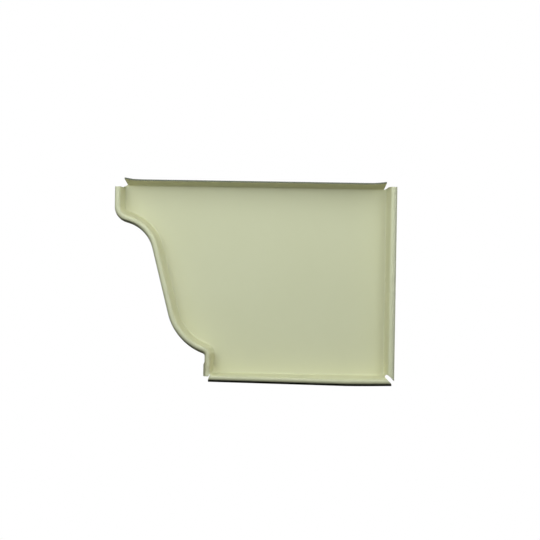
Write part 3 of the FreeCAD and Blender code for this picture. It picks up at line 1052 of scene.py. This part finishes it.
@dataclass(frozen=True)
class CreamEnamel:
    """Polyester coil coat, rolled on and baked: cream, satin, with a faint orange peel."""

    # Rollers lay it so evenly that its tone only drifts, over centimetres. Baking leaves a
    # satin sheen, which a peel of about 1 mm spreads into soft, wide highlights.
    name: str = "cream_coil_coat"
    colour: str = "#E1DCB2"
    deeper: str = "#DDD8AC"
    roughness: float = 0.42
    ior: float = 1.5
    mottle_mm: float = 26.0
    peel_mm: float = 0.9
    peel_depth_mm: float = 0.004
    # Painted shade: a darker, browner patch round the riser's wall, where it meets the panel.
    painted_shade: str = "#CABF90"
    painted_shade_mm: float = 2.2
    painted_shade_centre: Pair = (-85.0, 8.0)
    painted_shade_reach: Pair = (6.3, 7.8)
    painted_shade_core: float = 0.15
    painted_shade_patches: Pair = (0.2, 0.7)

    def material(self) -> bpy.types.Material:
        """Mixes the coat.

        Returns:
            Its material.
        """
        material, shader = begin_material(self.name)
        tree = material.node_tree
        shader.inputs["Roughness"].default_value = self.roughness
        shader.inputs["IOR"].default_value = self.ior
        place = add_node(tree, "ShaderNodeTexCoord").outputs["Object"]
        mottle = add_node(
            tree,
            "ShaderNodeTexNoise",
            inputs={"Vector": place, "Scale": 1 / (self.mottle_mm * MM), "Detail": 3.0},
        )
        blend = add_node(
            tree,
            "ShaderNodeMix",
            {"data_type": "RGBA"},
            {0: mottle.outputs["Fac"], 6: srgb(self.colour), 7: srgb(self.deeper)},
        )
        # The painted shade round the riser's wall is mixed over the coat's colour.
        shaded_coat = add_node(
            tree,
            "ShaderNodeMix",
            {"data_type": "RGBA"},
            {0: self._painted_shade_share(tree, place), 6: blend.outputs[2], 7: srgb(self.painted_shade)},
        )
        tree.links.new(shaded_coat.outputs[2], shader.inputs["Base Color"])
        peel = add_node(
            tree,
            "ShaderNodeTexNoise",
            inputs={"Vector": place, "Scale": 1 / (self.peel_mm * MM), "Detail": 2.0},
        )
        bump = add_node(
            tree,
            "ShaderNodeBump",
            inputs={"Height": peel.outputs["Fac"], "Distance": self.peel_depth_mm * MM},
        )
        tree.links.new(bump.outputs["Normal"], shader.inputs["Normal"])
        return material

    def _painted_shade_share(
        self, tree: bpy.types.NodeTree, place: bpy.types.NodeSocket
    ) -> bpy.types.NodeSocket:
        """How far painted shade, darker and browner than the coat, covers it; it lies round the
        riser's wall, where the wall meets the panel.

        Args:
            tree: the material's tree.
            place: the place on the object, in metres.

        Returns:
            A value from 0, no shade, to 1.
        """
        (x, z), (across, up) = self.painted_shade_centre, self.painted_shade_reach
        scaled = add_node(
            tree,
            "ShaderNodeVectorMath",
            {"operation": "MULTIPLY_ADD"},
            {0: place, 1: (1 / (across * MM), 0.0, 1 / (up * MM)), 2: (-x / across, 0.0, -z / up)},
        )
        away = add_node(
            tree, "ShaderNodeVectorMath", {"operation": "LENGTH"}, {0: scaled.outputs["Vector"]}
        )
        near = add_node(
            tree,
            "ShaderNodeMapRange",
            {"interpolation_type": "SMOOTHSTEP"},
            {"Value": away.outputs["Value"], "From Min": 1.0, "From Max": self.painted_shade_core},
        )
        cloud = add_node(
            tree,
            "ShaderNodeTexNoise",
            inputs={"Vector": place, "Scale": 1 / (self.painted_shade_mm * MM), "Detail": 2.0},
        )
        bare, full = self.painted_shade_patches
        patchy = add_node(
            tree,
            "ShaderNodeMapRange",
            inputs={"Value": cloud.outputs["Fac"], "From Min": bare, "From Max": full},
        )
        share = add_node(
            tree,
            "ShaderNodeMath",
            {"operation": "MULTIPLY"},
            {0: near.outputs["Result"], 1: patchy.outputs["Result"]},
        )
        return share.outputs["Value"]


@dataclass(frozen=True)
class ShadedShearedEdge:
    """The bare metal that the shears left along the sheet's edges, uneven; its dark olive grey is
    painted shade.
    """

    # Shear marks are finer than a tenth of a millimetre, too fine to show here, so the light
    # and dark patches are drawn coarser. Both are darker and more olive than bare aluminium:
    # painted shade.
    name: str = "sheared_edge_painted_shade"
    shaded_light_patch: str = "#8A8B7A"
    shaded_dark_patch: str = "#4E5044"
    roughness: float = 0.5
    patch_mm: float = 0.35

    def material(self) -> bpy.types.Material:
        """Lays bare the metal.

        Returns:
            Its material.
        """
        material, shader = begin_material(self.name)
        tree = material.node_tree
        shader.inputs["Metallic"].default_value = 1.0
        shader.inputs["Roughness"].default_value = self.roughness
        place = add_node(tree, "ShaderNodeTexCoord").outputs["Object"]
        patches = add_node(
            tree,
            "ShaderNodeTexNoise",
            inputs={"Vector": place, "Scale": 1 / (self.patch_mm * MM), "Detail": 2.0},
        )
        # Both patch colours carry painted shade: dark, olive grey metal.
        blend = add_node(
            tree,
            "ShaderNodeMix",
            {"data_type": "RGBA"},
            {0: patches.outputs["Fac"], 6: srgb(self.shaded_light_patch), 7: srgb(self.shaded_dark_patch)},
        )
        tree.links.new(blend.outputs[2], shader.inputs["Base Color"])
        return material


@dataclass(frozen=True)
class FloorPaint:
    """Matt emulsion, rolled on: plain and pale, without gloss, and glowing a little."""

    name: str = "pale_floor_paint"
    colour: str = "#F2F2F0"
    roughness: float = 0.8
    glow: float = 0.75

    def material(self) -> bpy.types.Material:
        """Mixes the paint.

        Returns:
            Its material.
        """
        material, shader = begin_material(self.name)
        shader.inputs["Base Color"].default_value = srgb(self.colour)
        shader.inputs["Roughness"].default_value = self.roughness
        shader.inputs["Emission Color"].default_value = srgb(self.colour)
        shader.inputs["Emission Strength"].default_value = self.glow
        return material


@dataclass
class EndCap:
    """The whole cap, folded from one sheet."""

    outline: GutterOutline = field(default_factory=GutterOutline)
    gauge: SheetGauge = field(default_factory=SheetGauge)
    coat: CreamEnamel = field(default_factory=CreamEnamel)
    edge: ShadedShearedEdge = field(default_factory=ShadedShearedEdge)
    crisp_angle: float = 30.0

    def build(self) -> bpy.types.Object:
        """Draws the sheet, gives it its thickness, cuts its corners and dresses it.

        Returns:
            The finished piece.
        """
        bench = FoldedRim(self.outline, self.gauge).build()
        panel = TrayPanel(self.outline, self.gauge, bench)
        panel.build()
        TopFlange(self.outline, self.gauge, bench, panel.top).build()
        self._turn_outwards(bench)
        piece = bench.leave()
        piece.data.materials.append(self.coat.material())
        piece.data.materials.append(self.edge.material())
        self._thicken(piece)
        for cutter in CornerCuts(self.outline, self.gauge).cutters():
            self._punch(piece, cutter)
        self._finish(piece)
        return piece

    def _turn_outwards(self, bench: Bench) -> None:
        """Makes the drawn side face the viewer all over.

        Args:
            bench: holds the whole sheet.
        """
        bpy.ops.mesh.select_all(action="SELECT")
        bpy.ops.mesh.remove_doubles(threshold=TOUCH * MM)
        bpy.ops.mesh.normals_make_consistent(inside=False)
        mesh = bmesh.from_edit_mesh(bench.piece.data)
        largest = max(mesh.faces, key=lambda face: face.calc_area())
        if largest.normal.y > 0:
            bpy.ops.mesh.flip_normals()

    def _thicken(self, piece: bpy.types.Object) -> None:
        """Gives the sheet its gauge, away from the viewer's side.

        Args:
            piece: the sheet, still without thickness.
        """
        activate(piece)
        solid = piece.modifiers.new("gauge", "SOLIDIFY")
        solid.thickness = self.gauge.thickness * MM
        solid.offset = -1.0
        solid.use_even_offset = True
        solid.use_quality_normals = True
        solid.material_offset_rim = BARE
        bpy.ops.object.modifier_apply(modifier=solid.name)

    def _punch(self, piece: bpy.types.Object, cutter: Cutter) -> None:
        """Subtracts one cutter; the cut faces are bare metal.

        Args:
            piece: the sheet.
            cutter: what goes.
        """
        prism = cutter.build()
        prism.data.materials.append(piece.data.materials[BARE])
        activate(piece)
        punch = piece.modifiers.new(cutter.name, "BOOLEAN")
        punch.operation = "DIFFERENCE"
        punch.solver = "EXACT"
        punch.material_mode = "TRANSFER"
        punch.object = prism
        bpy.ops.object.modifier_apply(modifier=punch.name)
        bpy.data.objects.remove(prism)

    def _finish(self, piece: bpy.types.Object) -> None:
        """Shades the folds smooth and leaves the sheared edges crisp."""
        activate(piece)
        bpy.ops.object.shade_smooth_by_angle(angle=math.radians(self.crisp_angle))


@dataclass(frozen=True)
class SoftBox:
    """A square soft box, placed by its direction; its side grows with its distance."""

    name: str
    azimuth: float
    elevation: float
    distance: float
    power: float
    spread: float = 0.45


@dataclass
class Studio:
    """A pale floor far below, soft boxes all round, a white backdrop, and the camera."""

    aim: Vector = field(default_factory=lambda: Vector((-56.24, 0.0, 50.64)))
    azimuth: float = 1.5
    elevation: float = -2.5
    roll: float = 1.0
    distance: float = 4000.0
    pixel_mm: float = 0.45805
    image_side: int = 540
    sensor: float = 36.0
    floor_drop: float = 700.0
    floor_side: float = 160000.0
    floor_paint: FloorPaint = FloorPaint()
    daylight: str = "#ECF7FF"
    boxes: tuple[SoftBox, ...] = (
        SoftBox("left_key", -22.0, 10.0, 900.0, 1.748),
        SoftBox("left_key_near", -22.0, 10.0, 320.0, 0.0751),
        SoftBox("right_key", 27.0, 10.0, 900.0, 1.533),
        SoftBox("left_side", -80.0, 9.0, 320.0, 0.1132),
        SoftBox("left_side_far", -80.0, 9.0, 900.0, 0.129),
        SoftBox("right_side", 80.0, 7.0, 900.0, 0.808),
        SoftBox("overhead_box", 25.0, 60.0, 320.0, 0.2428),
        SoftBox("upper_left", -45.0, 30.0, 350.0, 0.194),
        SoftBox("upper_right", 45.0, 30.0, 350.0, 0.22),
        SoftBox("low_left", -45.0, 0.0, 350.0, 0.1041),
        SoftBox("upper_front", 0.0, 30.0, 350.0, 0.0573),
        SoftBox("back_left", -150.0, 25.0, 900.0, 0.646),
        SoftBox("back_right", 118.0, 15.0, 900.0, 2.8),
        SoftBox("back_box", 180.0, 30.0, 900.0, 5.17),
    )

    def build(self) -> None:
        """Adds floor, lights and camera."""
        self._floor()
        self._backdrop()
        for box in self.boxes:
            self._soft_box(box)
        self._camera()

    def _direction(self, azimuth: float, elevation: float) -> Vector:
        """Turns two angles into a direction from the cap.

        Args:
            azimuth: degrees from the panel's front, above 0 towards +X.
            elevation: degrees above the horizon.

        Returns:
            A unit vector.
        """
        turn, rise = math.radians(azimuth), math.radians(elevation)
        flat = math.cos(rise)
        return Vector((math.sin(turn) * flat, -math.cos(turn) * flat, math.sin(rise)))

    def _floor(self) -> None:
        """A plain pale floor far below, which sends no light back up to the cap."""
        deselect_all()
        bpy.ops.mesh.primitive_plane_add(
            size=self.floor_side * MM, location=(0.0, 0.0, -self.floor_drop * MM)
        )
        floor = bpy.context.active_object
        floor.name = "pale_floor"
        floor.visible_diffuse = False
        floor.visible_glossy = False
        floor.data.materials.append(self.floor_paint.material())

    def _backdrop(self) -> None:
        """A white backdrop that only the camera sees, so the soft boxes alone light the cap."""
        world = bpy.data.worlds.new("white_backdrop")
        bpy.context.scene.world = world
        world.use_nodes = True
        tree = world.node_tree
        backdrop = tree.nodes["Background"]
        backdrop.inputs["Color"].default_value = srgb("#FFFFFF")
        ray = add_node(tree, "ShaderNodeLightPath")
        tree.links.new(ray.outputs["Is Camera Ray"], backdrop.inputs["Strength"])

    def _soft_box(self, box: SoftBox) -> None:
        """Hangs one soft box and aims it at the cap.

        Args:
            box: its place, size and power.
        """
        light = bpy.data.lights.new(box.name, "AREA")
        light.shape = "SQUARE"
        light.size = box.spread * box.distance * MM
        light.energy = box.power
        light.color = srgb(self.daylight)[:3]
        lamp = bpy.data.objects.new(box.name, light)
        bpy.context.scene.collection.objects.link(lamp)
        away = self._direction(box.azimuth, box.elevation)
        lamp.location = (self.aim + away * box.distance) * MM
        lamp.rotation_euler = (-away).to_track_quat("-Z", "Y").to_euler()

    def _camera(self) -> None:
        """The camera at the photograph's viewing angle."""
        back = self._direction(self.azimuth, self.elevation)
        data = bpy.data.cameras.new("camera")
        data.sensor_width = self.sensor
        data.lens = self.sensor * self.distance / (self.pixel_mm * self.image_side)
        data.clip_end = self.floor_side * MM
        camera = bpy.data.objects.new("camera", data)
        bpy.context.scene.collection.objects.link(camera)
        camera.location = (self.aim + back * self.distance) * MM
        aimed = (-back).to_track_quat("-Z", "Y")
        tilted = aimed @ Quaternion(UP, math.radians(self.roll))
        camera.rotation_euler = tilted.to_euler()
        bpy.context.scene.camera = camera


def main() -> None:
    """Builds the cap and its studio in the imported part's frame."""
    logging.basicConfig(level=logging.INFO, format="%(name)s: %(message)s")
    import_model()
    cap = EndCap().build()
    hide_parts(NODE)
    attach(cap, BODY)
    LOG.info("%s: %d faces", cap.name, len(cap.data.polygons))
    Studio().build()
    bpy.context.scene.view_settings.view_transform = "Standard"


if __name__ == "__main__":
    main()
